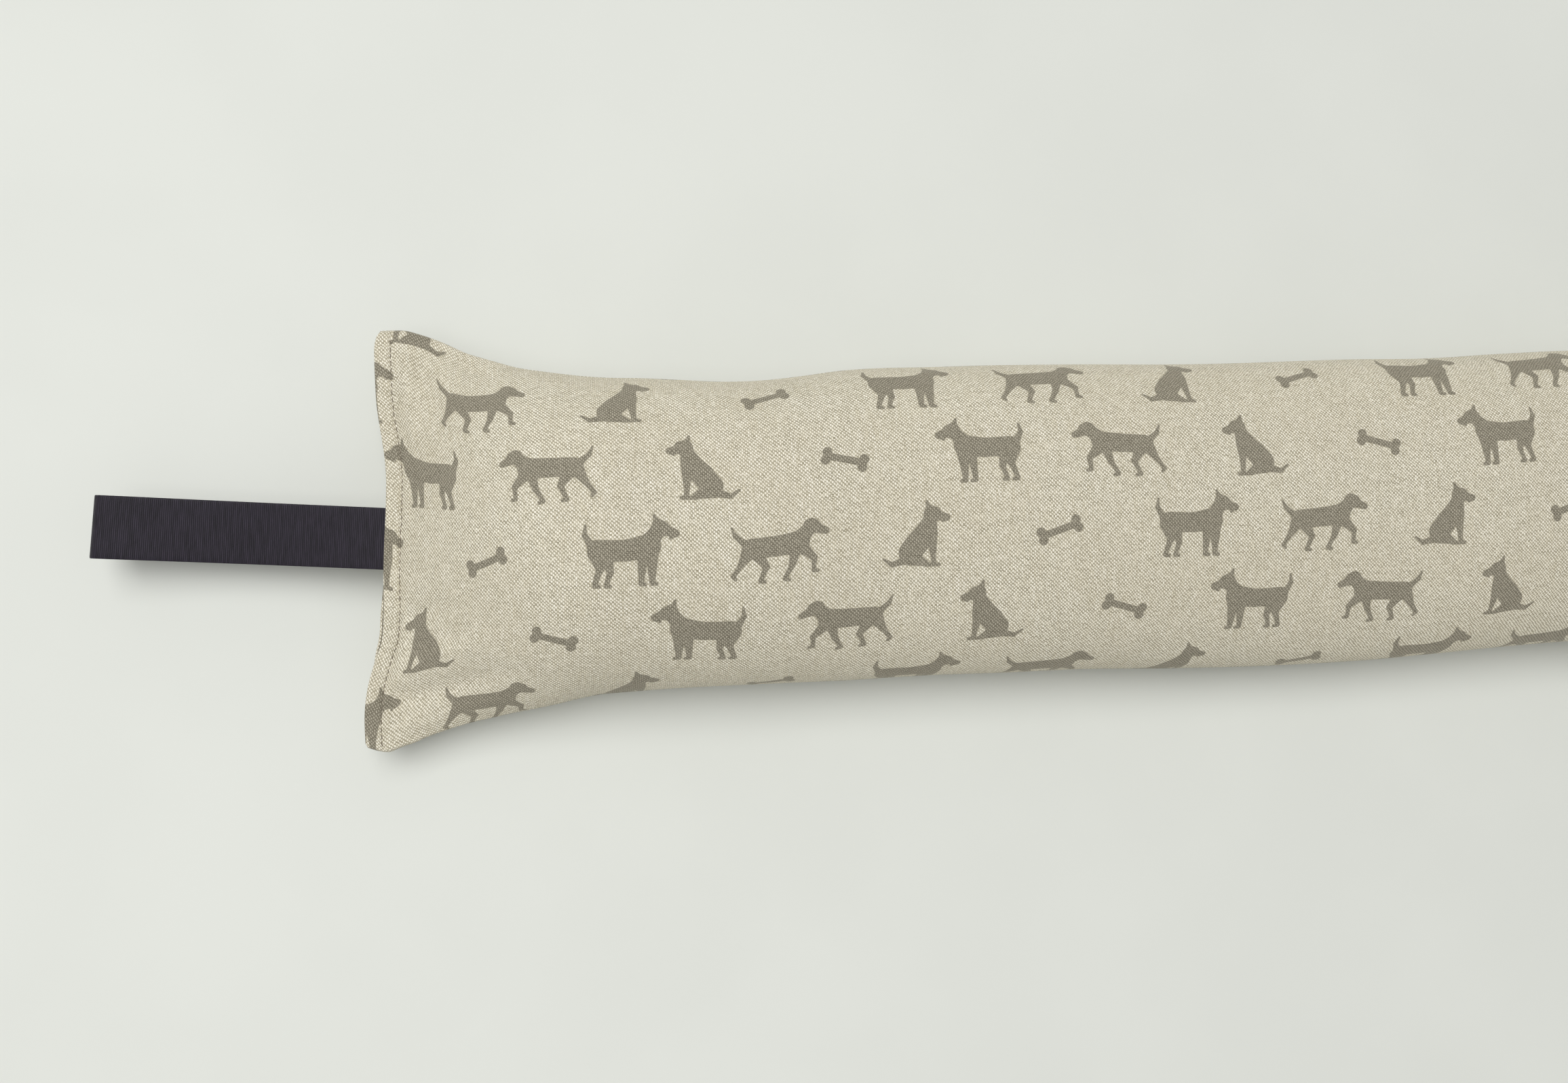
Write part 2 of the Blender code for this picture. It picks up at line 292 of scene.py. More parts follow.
# columns: distance, +Y edge, -Y edge
OUTLINE_LEFT = np.array([
    (-12, 84.6, -83.0), (-9, 84.8, -84.3), (-5, 85.1, -85.6), (-1.5, 85.4, -86.0),
    (1.5, 85.6, -85.0), (4.5, 85.7, -83.9), (7, 85.7, -83.2), (10, 85.6, -82.2),
    (12.5, 85.1, -81.1), (15, 84.3, -80.2), (18, 83.3, -79.3), (21, 82.2, -78.4),
    (25, 80.5, -77.3), (29, 78.6, -76.3), (34, 76.0, -75.2), (40, 73.8, -74.1),
    (47, 71.4, -72.6), (55, 68.8, -71.1), (66, 66.7, -69.0), (75, 65.3, -67.0),
    (84, 64.2, -65.6), (92, 63.6, -65.3), (104, 63.1, -65.1), (120, 61.9, -65.0),
    (137, 60.8, -65.1), (154, 61.1, -65.1), (171, 62.6, -65.1), (189, 64.5, -65.1),
    (206, 65.2, -64.9), (224, 65.3, -64.8), (255, 65.8, -65.2), (292, 65.9, -65.7),
    (330, 65.3, -67.3), (350, 65.2, -67.9), (386, 65.4, -68.5), (406, 65.6, -68.6),
    (428, 65.9, -68.3), (447, 66.1, -67.5), (467, 66.7, -66.7), (489, 67.8, -66.0),
    (510, 68.5, -65.5), (530, 69.0, -65.0), (570, 69.0, -65.0)])
OUTLINE_RIGHT = np.array([
    (-9, 83.9, -83.6), (-5, 84.8, -84.6), (0, 85.3, -85.3), (5, 85.1, -84.9),
    (10, 83.8, -83.5), (16, 81.8, -81.5), (24, 78.7, -78.9), (32, 75.8, -76.4),
    (45, 72.2, -73.0), (60, 68.8, -69.6), (80, 65.9, -66.1), (100, 64.2, -64.3),
    (125, 63.2, -63.3), (150, 63.4, -63.6), (180, 64.4, -64.9), (220, 65.9, -66.1),
    (270, 66.8, -66.2), (320, 67.9, -65.5), (370, 68.9, -65.0), (410, 69.0, -65.0)])
# columns: place across, how far the flange edge reaches out there
REACH_LEFT = np.array([
    (-90, 10.6), (-78, 10.8), (-68, 10.3), (-57, 8.2), (-48, 5.2), (-40, 2.4), (-32, 1.5),
    (-11, 0.7), (0, 0.0), (13, -1.0), (29, -1.5), (36, -1.0), (44, 0.0), (54, 1.2),
    (68, 1.7), (90, 1.7)])
REACH_RIGHT = np.array([
    (-90, 4.6), (-72, 4.2), (-60, 2.6), (-46, 0.9), (-30, 0.1), (0, -0.4), (28, 0.2),
    (44, 1.6), (58, 4.1), (70, 5.8), (90, 6.4)])
# rounding of each flange corner: width across, length along
CORNER_ROUND = {
    ("left", 1): (8.5, 4.4), ("left", -1): (5.0, 2.0),
    ("right", 1): (6.0, 2.4), ("right", -1): (7.0, 3.0)}
# columns: distance, crown rise, belly drop
END_SWELL = np.array([
    (6.5, 0.0, 0.0), (8.0, 1.3, 1.0), (11, 3.8, 3.1), (16, 8.3, 7.2), (22, 13.3, 12.0),
    (30, 19.8, 18.4), (40, 27.0, 26.0), (52, 33.8, 34.2), (66, 39.4, 40.0),
    (82, 43.5, 42.0), (100, 46.0, 42.0)])
# columns: distance, how pointed the section is at its sides
SIDE_POWER = np.array([
    (6.5, 1.35), (20, 1.15), (40, 0.92), (70, 0.68), (100, 0.56), (140, 0.50)])
print("cloth round the tube:", GIRTH * 1000, "mm")

# %% [markdown]
# Tables of measurements have corners where their rows meet. Read with straight
# lines between the rows they would show as faint facets in the light, so the
# reader below gives them smooth slopes.

# %% Reading the tables


def smooth(value):
    value = np.clip(value, 0.0, 1.0)
    return value * value * (3.0 - 2.0 * value)


def table(position, rows, column):
    """Reads a table with smooth slopes between its rows."""
    xs = rows[:, 0]
    ys = rows[:, column]
    slopes = np.gradient(ys, xs)
    position = np.clip(position, xs[0], xs[-1])
    i = np.clip(np.searchsorted(xs, position) - 1, 0, len(xs) - 2)
    span = xs[i + 1] - xs[i]
    t = (position - xs[i]) / span
    start = (2 * t**3 - 3 * t**2 + 1) * ys[i] + (t**3 - 2 * t**2 + t) * span * slopes[i]
    stop = (3 * t**2 - 2 * t**3) * ys[i + 1] + (t**3 - t**2) * span * slopes[i + 1]
    return start + stop


TABLES_MEET = 500         # millimetres from the left edge
MEET_OVER = 60
CORNER_MM = 86.0          # from the middle to a flange's corner
CORNER_FADE_MM = 9.5


def edges_at(x):
    """The +Y and -Y outline at a place along the length, in metres."""
    left = (x + LENGTH / 2) * 1000
    right = (LENGTH / 2 - x) * 1000
    mix = smooth((left - TABLES_MEET) / MEET_OVER)
    return [(table(left, OUTLINE_LEFT, column) * (1 - mix)
             + table(right, OUTLINE_RIGHT, column) * mix) / 1000 for column in (1, 2)]


def reach_out(end, across, distance):
    """How far points of the cloth stand out along the length, in metres."""
    rows = REACH_LEFT if end == "left" else REACH_RIGHT
    reach = table(across * 1000, rows, 1) * (1 - smooth(distance / REACH_FADE))
    for side in (1, -1):
        width, length = CORNER_ROUND[(end, side)]
        share = np.clip((side * across * 1000 - CORNER_MM + width) / width, 0, 1)
        rounded = length * (1 - np.sqrt(1 - 0.98 * share**2))
        reach = reach - rounded * (1 - smooth(distance * 1000 / CORNER_FADE_MM))
    return reach / 1000


middle_width = np.subtract(*edges_at(np.array([0.0])))[0]
print("width at mid-length:", round(middle_width * 1000, 1), "mm")

# %% [markdown]
# ## Sections of the tube
# A section starts as two flat layers at the flange and swells into an oval
# further in. Its underside is pressed level where it meets the floor. How high
# the crown rises can't be read from a photo taken from above. The cloth's length
# round the tube tells it: the range of heights is halved again and again until
# the cloth round the section is as long as the cut piece.

# %% One section of the tube


def press(z):
    """Flattens what would lie below the ground into a level underside."""
    soft = (z + PRESS_ROUND)**2 / (4 * PRESS_ROUND)
    return np.where(z < -PRESS_ROUND, 0.0, np.where(z < PRESS_ROUND, soft, z))


def layer_half(distance):
    """Half the thickness of the closed layers at a distance from the edge."""
    mm = distance * 1000
    thick = SIDE_THICK + (FLANGE_THICK - SIDE_THICK) * (1 - smooth((mm - 8) / 40))
    rounding = 0.75 + 0.25 * smooth(mm / 0.7)
    channel = smooth(1 - abs(mm - CHANNEL_MM) / 1.6)
    return (thick * rounding * (1 - channel) + STITCH_THICK * channel) / 2


def section(distance, share):
    """Middle height, half thickness, form of the crown and height of the belly."""
    mm = distance * 1000
    settle = smooth((mm - CHANNEL_MM) / 80)
    middle = SEAM_HEIGHT + (SIDE_HEIGHT - SEAM_HEIGHT) * settle
    middle = middle - CORNER_DROOP * (1 - settle) * np.abs(share)**3
    half = layer_half(distance)
    power = table(mm, SIDE_POWER, 1)
    crown = (1 - np.abs(share)**(2.0 + 0.1 * settle))**power
    belly = (1 - np.abs(share)**(2.0 + 0.6 * settle))**power
    drop = table(mm, END_SWELL, 2) / 1000
    deepest = SIDE_HEIGHT - half + PRESS_DEPTH
    mix = smooth((mm - 60) / 50)
    low = press(middle - half - (drop * (1 - mix) + deepest * mix) * belly)
    return middle, half, crown, low


SOLVED_FROM = 70          # millimetres from the edge; nearer, the table alone holds
SOLVED_OVER = 40
HALVINGS = 40


def crown_rise(distance, half_width):
    """The crown's rise: from the table at the end, from the girth further in."""
    mm = distance * 1000
    near = table(mm, END_SWELL, 1) / 1000
    if mm < SOLVED_FROM:
        return near
    share = np.sin(np.linspace(-np.pi / 2, np.pi / 2, 241))
    middle, half, crown, low = section(distance, share)
    across = share * half_width
    under = np.hypot(np.diff(across), np.diff(low)).sum()
    small, large = 0.0, 0.09
    for _ in range(HALVINGS):
        rise = (small + large) / 2
        over = np.hypot(np.diff(across), np.diff(middle + rise * crown)).sum()
        if under + over + 4 * half < GIRTH:
            small = rise
        else:
            large = rise
    mix = smooth((mm - SOLVED_FROM) / SOLVED_OVER)
    return near * (1 - mix) + rise * mix


print("crown rise at mid-length:", round(crown_rise(0.45, middle_width / 2) * 1000, 1), "mm")

# %% [markdown]
# ## Rings of cloth
# The cover's mesh is made of rings that stand closer together at the stitched
# ends, where the cloth bends most. Every ring holds the same number of points, so
# lines of the mesh run like the threads of the cloth. Its points crowd where the
# long seam runs, low on the front side, because the seam's groove is narrow.

# %% Where the rings and their points stand
SEAM_INSET = 0.0125       # the long seam below the widest line, along the cloth
FIRST_RING = 0.00045      # the rounded lips reach from here out to the flange's edge
WIDEST_STEP_MM = 2.5      # between two rings
RING_POINTS = 85          # of the upper side and of the lower one


def running(steps, axis=0):
    """The running total of steps, with a 0 before the first."""
    return np.insert(np.cumsum(steps, axis=axis), 0, 0, axis=axis)


def point_steps():
    """Shares of the cloth's width, from 0 to 1, with close steps at the long seam."""
    dense = np.linspace(0, 1, 4001)
    seam = SEAM_INSET / (GIRTH / 2)
    weight = 1 + 3.4 * np.exp(-((dense - seam) / 0.016)**2)
    weight += 1.4 * np.exp(-(dense / 0.012)**2) + 1.4 * np.exp(-((1 - dense) / 0.012)**2)
    run = running((weight[1:] + weight[:-1]) / 2)
    return np.interp(np.linspace(0, run[-1], RING_POINTS), run, dense)


def ring_places():
    """Distances of the rings from a flange edge to mid-length."""
    places = [FIRST_RING]
    while places[-1] < LENGTH / 2 - WIDEST_STEP_MM / 1000:
        mm = places[-1] * 1000
        step = min(WIDEST_STEP_MM, 0.42 + 0.035 * mm) if mm > 7.5 else 0.45
        places.append(places[-1] + step / 1000)
    return np.array(places) * (LENGTH / 2) / places[-1]


STEPS = point_steps()
ACROSS = len(STEPS) - 1
RINGS = ring_places()
print("points in a ring:", 2 * ACROSS + 4, " rings:", 2 * len(RINGS) - 1)

# %% [markdown]
# A ring runs over the top and back underneath, with one extra point at each side
# where the layers meet. Its points are spaced along the cloth, not along the
# floor, so that no face is stretched on the steep sides.

# %% One ring


def even_shares(distance, half_width, rise, upper):
    """Shares of the half width that stand at chosen steps along the cloth."""
    dense = np.sin(np.linspace(-np.pi / 2, np.pi / 2, 1441))
    middle, half, crown, low = section(distance, dense)
    z = middle + half + rise * crown if upper else low
    run = running(np.hypot(np.diff(dense * half_width), np.diff(z)))
    return np.interp(STEPS * run[-1], run, dense)


def place(end, distance, share, z):
    """Points of one row of cloth, with the outline and the flange's bends."""
    sign = SIGN[end]
    x = sign * (distance - LENGTH / 2) * np.ones_like(share)
    for _ in range(4):
        plus, minus = edges_at(x)
        span = (plus - minus) / 2 - layer_half(distance) * SIDE_BULGE
        y = (plus + minus) / 2 + span * share
        x = sign * (distance - LENGTH / 2) - sign * reach_out(end, y, distance)
    return np.stack([x, y, z * np.ones_like(share)], axis=1)


def ring(end, distance):
    """Over the top from -Y to +Y, then back underneath."""
    sign = SIGN[end]
    plus, minus = edges_at(np.array([sign * (distance - LENGTH / 2)]))
    half_width = float(plus[0] - minus[0]) / 2
    rise = crown_rise(distance, half_width)
    over = even_shares(distance, half_width, rise, True)
    under = even_shares(distance, half_width, rise, False)[::-1]
    middle, half, crown, _ = section(distance, over)
    top = place(end, distance, over, middle + half + rise * crown)
    low = place(end, distance, under, section(distance, under)[3])
    mm = low[:, 1] * 1000
    slip = smooth((-mm - 12) / 20) * smooth((53 + mm) / 12)
    slip = slip * (1 - smooth(distance * 1000 / 5.4))
    low[:, 0] -= sign * BACK_LIP * slip
    low[:, 2] -= BACK_SAG * slip
    bulge = np.array([0, half * SIDE_BULGE, 0])
    right = (top[-1] + low[0]) / 2 + bulge
    left = (top[0] + low[-1]) / 2 - bulge
    return np.concatenate([top, [right], low, [left]])


rings = [ring("left", d) for d in RINGS] + [ring("right", d) for d in RINGS[-2::-1]]
cloth = np.array(rings)
print("cloth points:", cloth.shape[0] * cloth.shape[1])

# %% [markdown]
# ## Puckers and softness
# Sewn cloth is never as smooth as its section. The topstitching gathers it into
# short soft puckers that die away within a few centimetres. They could be
# sculpted, but a sum of soft bumps with seeded places can be made again: light
# enough to leave the outline alone, uneven enough to catch the light.

# %% Puckers along the stitching
rng = np.random.default_rng(11)
distance_of_ring = np.concatenate([RINGS, RINGS[-2::-1]])
from_edge = distance_of_ring * 1000


def pucker_row(count, low_mm, high_mm):
    """Places, widths, depths and lengths of one row of puckers."""
    places = np.linspace(low_mm, high_mm, count) + rng.uniform(-5, 5, count)
    return np.stack([places, rng.uniform(3.0, 6.5, count), rng.uniform(0.25, 0.75, count),
                     rng.uniform(12, 30, count)], axis=1)


def puckers(across_mm, distance_mm, rows):
    """Height of the puckers in millimetres, downwards negative."""
    total = np.zeros(np.broadcast(across_mm, distance_mm).shape)
    past = distance_mm - CHANNEL_MM
    for centre, width, depth, length in rows:
        wander = centre + 0.12 * past * np.sin(centre)
        bump = np.exp(-((across_mm - wander) / width)**2)
        total -= depth * bump * smooth(past / 5) * np.exp(-(past / length)**2)
    return total


def millimetres(half_of, rows):
    """Place across the cloth and distance from its edge, for a part of it."""
    return cloth[half_of, rows, 1] * 1000, from_edge[half_of, None]


PUCKERS = 10
HALVES = {"left": slice(0, len(RINGS)), "right": slice(len(RINGS), None)}
FACES = {1: slice(1, ACROSS), -1: slice(ACROSS + 3, 2 * ACROSS + 2)}  # upper, lower
calm_sides = np.sin(np.linspace(0, np.pi, ACROSS - 1))**0.5
for half_of in HALVES.values():
    for side, rows in FACES.items():
        lift = puckers(*millimetres(half_of, rows), pucker_row(PUCKERS, -70, 70))
        cloth[half_of, rows, 2] += side * lift * calm_sides / 1000
print("puckers in each row:", PUCKERS, "of less than 0.8 mm")

# %% [markdown]
# Where the round tube turns into a flat corner, cloth is left over and lies in a
# few longer creases. Each has its own place, so a table lists them one by one: a
# row is a soft ridge or trough along a straight line on the cloth.

# %% Creases at the corners
# columns: end, 1 for the upper side, start and stop as (distance, across),
# half width, height; all in millimetres, a trough has a height below 0
CREASES = [
    ("left", 1, (12.5, 76), (12.5, 38), 3.4, 1.7), ("left", 1, (19, 68), (26, 44), 3.6, -1.5),
    ("left", 1, (24, 76), (48, 62), 3.4, -1.3), ("left", 1, (9, -54), (44, -40), 4.6, 1.7),
    ("left", 1, (8, -66), (52, -53), 4.2, -2.1), ("left", 1, (16, -76), (54, -65), 3.6, 1.2),
    ("left", 1, (8, 22), (32, 28), 3.6, -0.9), ("left", 1, (9, -32), (28, -26), 3.2, -1.0),
    ("left", -1, (9, 70), (46, 52), 4.0, -1.2),
    ("left", -1, (9, -66), (40, -50), 4.0, -1.1), ("left", -1, (10, 10), (30, 14), 4.0, -0.7),
    ("right", 1, (9, 68), (42, 50), 4.0, -1.2), ("right", 1, (14, 78), (50, 62), 4.2, 0.9),
    ("right", 1, (9, -70), (38, -54), 3.8, -1.1), ("right", 1, (9, -18), (28, -22), 3.6, -0.6),
    ("right", -1, (9, 66), (40, 50), 4.0, -1.1), ("right", -1, (9, -60), (44, -46), 4.0, -1.2)]


def crease(across_mm, distance_mm, start, stop, width, height):
    """One soft line on the cloth, in millimetres, that fades at both its ends."""
    spot = np.stack(np.broadcast_arrays(distance_mm, across_mm), axis=-1) - start
    line = np.subtract(stop, start)
    t = spot @ line / (line @ line)
    away = np.linalg.norm(spot - np.clip(t, 0, 1)[..., None] * line, axis=-1)
    fade = smooth((t + 0.25) / 0.45) * smooth((1.3 - t) / 0.7)
    return height * np.exp(-(away / width)**2) * fade * smooth((distance_mm - 7) / 3)


for end, side, *line in CREASES:
    part = HALVES[end], FACES[side]
    cloth[(*part, 2)] += side * crease(*millimetres(*part), *line) / 1000
print("creases at the corners:", len(CREASES))

# %% [markdown]
# Lengths of cloth along the tube and round it, in metres, become the cloth's own
# flat coordinates. The weave and the print are drawn in them, so they bend and
# narrow with the cloth.

# %% Flat coordinates of the cloth


def length_along(points, axis=0):
    """Length of lines of points up to each of them."""
    return running(np.linalg.norm(np.diff(points, axis=axis), axis=-1), axis)


def flat_coordinates(cloth):
    """Metres of cloth along the tube and round it, for every point."""
    along = length_along(cloth)
    around = length_along(np.concatenate([cloth, cloth[:, :1]], axis=1), axis=1)
    return along - along[len(RINGS) - 1], around / around[:, -1:] * GIRTH


along, around = flat_coordinates(cloth)
print("cloth along the crown:", round(float(np.ptp(along[:, ACROSS // 2])) * 1000), "mm")

# %% [markdown]
# Filling lies unevenly, so long shallow waves move the cloth straight out or in.
# The seam's groove and the cloth folded under beside it move it the same way.

# %% The soft unevenness of the filling


def unevenness(u, v):
    """A few long soft waves over the cloth, in millimetres."""
    total = np.zeros(u.shape)
    for _ in range(26):
        wave = rng.uniform(0.045, 0.16)
        turn = rng.uniform(0, 2 * np.pi)
        k = 2 * np.pi / wave
        rounds = round(k * np.sin(turn) * GIRTH / (2 * np.pi)) * 2 * np.pi / GIRTH
        total += (wave / 0.16) * np.sin(k * np.cos(turn) * u + rounds * v + rng.uniform(0, 6.28))
    return total * 0.085


def outward(cloth):
    """The direction straight out of the cloth at every point."""
    down = np.gradient(cloth, axis=0)
    closed = np.concatenate([cloth[:, -1:], cloth, cloth[:, :1]], axis=1)
    side = (closed[:, 2:] - closed[:, :-2]) / 2
    normal = np.cross(down, side)
    return normal / np.maximum(np.linalg.norm(normal, axis=2), 1e-12)[..., None]


seam_run = (around[:, :-1] - (GIRTH - SEAM_INSET)) * 1000
swell = unevenness(along, around[:, :-1])
ends = smooth((from_edge - 9) / 40)[:, None]
lying = smooth((cloth[..., 2] - 0.0005) / 0.008)
groove = -0.75 * np.exp(-(seam_run / 0.9)**2)
allowance = 0.35 * smooth((seam_run + 8) / 3) * (1 - smooth((seam_run + 1.0) / 1.0))
sewn = (groove + allowance) * smooth((from_edge - 7) / 10)[:, None]
normals = outward(cloth)
facing = np.sign(normals[len(RINGS), ACROSS // 2, 2])
cloth = cloth + normals * facing * ((swell * ends + sewn) * lying / 1000)[..., None]
print("unevenness:", round(float(swell.min()), 2), "to", round(float(swell.max()), 2), "mm")

# %% [markdown]
# ## Closing the ends
# At each end the cloth is turned in, so the flange edge shows two folded lips
# with a slit between them: rows of points that run over the front fold, into the
# slit and out over the back fold. Where the ribbon enters, the slit stands open.

# %% The two folded lips
RIBBON_WIDTH = 0.0250
RIBBON_START_Y = 0.0008
LIP_ROWS = [  # how far out of the lip's own edge, share of half the thickness above the middle
    (0.00034, 0.88), (0.00052, 0.62), (0.00038, 0.38), (-0.00010, 0.22)]
SLIT_ROWS = [  # how far out of the front lip's edge, how much of the slit's shade lies there
    (0.0013, 0.0), (0.0008, 1.0), (-0.0030, 1.0)]
SLIT_OPEN = 0.00016
RIBBON_OPEN = 0.00078


def lip_rows(top, low, end):
    """Rows of points from the top row over the front lip, the slit and the back lip."""
    sign = SIGN[end]
    open_here = np.full(len(top), SLIT_OPEN)
    if end == "left":
        y = (top[:, 1] + low[:, 1]) / 2
        near = np.abs(y - RIBBON_START_Y) - RIBBON_WIDTH / 2
        open_here = np.maximum(open_here, RIBBON_OPEN * (1 - smooth((near + 0.0003) / 0.0035)))
    middle = (top[:, 2] + low[:, 2]) / 2
    half = (top[:, 2] - low[:, 2]) / 2
    rows = []
    for side, edge in ((1, top), (-1, low)):
        some = []
        for out, share in LIP_ROWS:
            row = edge.copy()
            row[:, 0] -= sign * out
            row[:, 2] = middle + side * np.maximum(share * half, open_here if share < 0.3 else 0.0)
            some.append(row)
        own = sign * (top[:, 0] - edge[:, 0]) + LIP_ROWS[-1][0]
        for step, (out, _) in enumerate(SLIT_ROWS):
            row = some[-1].copy()
            row[:, 0] = top[:, 0] - sign * np.minimum(out, own - 0.00003 * (step + 1))
            some.append(row)
        rows += some if side == 1 else some[::-1]
    return rows


# painted shade: how strongly each row of the lips is darkened for the shade in the slit
LIP_SHADE = [0.0] * len(LIP_ROWS) + [shade for _, shade in SLIT_ROWS]
LIP_SHADE += LIP_SHADE[::-1]


END_RING = {"left": 0, "right": -1}


def layers(points):
    """The upper and the lower row of a ring, both from -Y to +Y."""
    return points[:ACROSS + 1], points[ACROSS + 2:2 * ACROSS + 3][::-1]


def two_edges(points):
    """The same two rows without the points at their ends."""
    return [row[1:ACROSS] for row in layers(points)]


lips = {end: lip_rows(*two_edges(cloth[r]), end) for end, r in END_RING.items()}
print("rows in each pair of lips:", len(lips["left"]))

# %% [markdown]
# ## The cover's mesh
# Quads join neighbouring rings, and strips close the two ends. Two UV maps go
# with it: "cloth" holds the flat coordinates, and "OFBake" spreads the same
# cloth over a square in two strips, so that no two faces share a place.

# %% Building the cover


class Pile:
    """Collects points and faces with their two sets of flat coordinates."""

    def __init__(self):
        self.points, self.shade = [], []
        self.faces, self.cloth_uv, self.bake_uv = [], [], []

    def add(self, points, shade=0.0):
        first = len(self.points)
        self.points.extend([tuple(p) for p in points])
        self.shade.extend([shade] * len(points))
        return list(range(first, first + len(points)))

    def face(self, corners, flat, baked):
        self.faces.append(corners)
        self.cloth_uv.extend(flat)
        self.bake_uv.extend(baked)


def grid(rows, columns):
    """The corners of every face, as (row, column), where each row closes on itself."""
    for r in range(rows - 1):
        for i in range(columns):
            j = (i + 1) % columns
            yield (r, i), (r, j), (r + 1, j), (r + 1, i)


BAKE_EDGE = 0.004         # left empty round the baked square
BAKE_STRIP = 0.47         # height of one strip, below the strip of its lips
pile = Pile()
ring_ids = [pile.add(points) for points in cloth]
seam_column = int(np.argmin(np.abs(seam_run[len(RINGS)])))
for corners in grid(*cloth.shape[:2]):
    r, i = corners[0]
    strip = 0 if r < len(RINGS) - 1 else 1
    flat, baked = [], []
    for (row, column), next_one in zip(corners, (0, 1, 1, 0)):
        v = around[row, i + next_one]
        turned = v + SEAM_INSET - (GIRTH if i >= seam_column else 0)
        flat.append((0.5 + along[row, column], max(turned, 0.0)))
        run = abs(strip - distance_of_ring[row] / (LENGTH / 2))
        baked.append((BAKE_EDGE + run * (1 - 2 * BAKE_EDGE),
                      0.5 * strip + BAKE_EDGE + v / GIRTH * (BAKE_STRIP - BAKE_EDGE)))
    pile.face([ring_ids[row][column] for row, column in corners], flat, baked)
print("faces round the tube:", len(pile.faces))

# %% [markdown]
# The lips close the ends with more rows of faces, from the front layer's edge
# over both folds to the back layer's edge. Their flat coordinates go on from the
# ring they start at, so the print and the weave run over the fold. A fan of
# small triangles gathers the rows at each corner.

# %% Closing the lips
FAR_APART = 0.1           # a face whose corners lie further apart on the cloth than this
#                           joins two layers deep in the slit and takes one place for all


def close_lips(end):
    """Strips of faces over the lips, with flat coordinates measured along them."""
    r = END_RING[end]
    ids = ring_ids[r]
    top, low = two_edges(cloth[r])
    first, final = two_edges(ids)
    lines = np.array([top] + lips[end] + [low])
    rows = [first] + [pile.add(*pair) for pair in zip(lips[end], LIP_SHADE)] + [final]
    run = length_along(lines)
    last, far = len(rows) - 1, ACROSS - 2
    left_tip, right_tip = ids[2 * ACROSS + 3], ids[ACROSS + 1]
    tipped = [[left_tip, *row, right_tip] for row in rows]
    base = BAKE_STRIP + (0.005 if end == "left" else 0.505)
    side = -SIGN[end]

    def spot(k, n):
        n = min(max(n, 0), far)
        out = run[k, n] if k <= last / 2 else run[last, n] - run[k, n]
        v = around[r, 1 + n] if k <= last / 2 else GIRTH - around[r, 1 + n]
        return (float(0.5 + along[r, 1 + n] + side * out), float((v + SEAM_INSET) % GIRTH))

    def baked(k, n):
        return (BAKE_EDGE + (n + 1) / ACROSS * 0.99, base + 0.02 * k / last)

    def add(*places, corners=None):
        flat = [spot(k, n) for k, n in places]
        if np.ptp([v for _, v in flat]) > FAR_APART:
            flat = [flat[0]] * len(flat)
        corners = corners or [tipped[k][n + 1] for k, n in places]
        pile.face(corners, flat, [baked(k, n) for k, n in places])

    for k in range(last):
        for n in range(far):
            add((k, n), (k, n + 1), (k + 1, n + 1), (k + 1, n))
    for k in range(last):
        add((k, 0), (k + 1, 0), (k, -1))
        add((k, far), (k + 1, far), (k, far + 1))
    for tip, n, at, front, back in ((left_tip, 0, -1, ids[0], ids[2 * ACROSS + 2]),
                                    (right_tip, far, far + 1, ids[ACROSS], ids[ACROSS + 2])):
        add((0, at), (0, n), (1, at), corners=(front, rows[0][n], tip))
        add((last, at), (last, n), (last - 1, at), corners=(back, rows[last][n], tip))


close_lips("left")
close_lips("right")
print("faces in the cover:", len(pile.faces))

# %% [markdown]
# A list of points and faces becomes an object in one helper, because the
# stitches and the ribbon need the same steps later. It also counts the edges
# that don't join two faces: a closed piece has none.

# %% Making the cover's object


def make_piece(name, points, faces, maps):
    """A smooth mesh object with its UV maps and its faces turned outwards."""
    mesh = bpy.data.meshes.new(name)
    mesh.from_pydata(points, [], faces)
    for title, values in maps.items():
        layer = mesh.uv_layers.new(name=title)
        layer.data.foreach_set("uv", np.array(values, dtype=np.float32).ravel())
    mesh.polygons.foreach_set("use_smooth", [True] * len(mesh.polygons))
    shell = bmesh.new()
    shell.from_mesh(mesh)
    bmesh.ops.recalc_face_normals(shell, faces=shell.faces[:])
    print(name, "open edges:", sum(1 for edge in shell.edges if len(edge.link_faces) != 2))
    shell.to_mesh(mesh)
    shell.free()
    made = bpy.data.objects.new(name, mesh)
    bpy.context.scene.collection.objects.link(made)
    return made


cover = make_piece("printed_cover", pile.points, pile.faces,
                   {"cloth": pile.cloth_uv, "OFBake": pile.bake_uv})
cover.data.attributes.new("slit_shade", "FLOAT", "POINT").data.foreach_set("value", pile.shade)
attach(cover, "root")
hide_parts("cover")

# %% [markdown]
# ## The weave
# The cloth is a plain weave of linen look: uneven threads about 0.76 mm apart,
# cream ones along the width and flax ones along the length. The cream threads
# ride higher, so they show as light dots that stand in rows like bricks, and the
# twist of the yarn makes one diagonal stronger. An image of cloth would blur
# close up. Here sine waves across both thread directions decide which thread is
# on top, and the same numbers drive colour and bump.

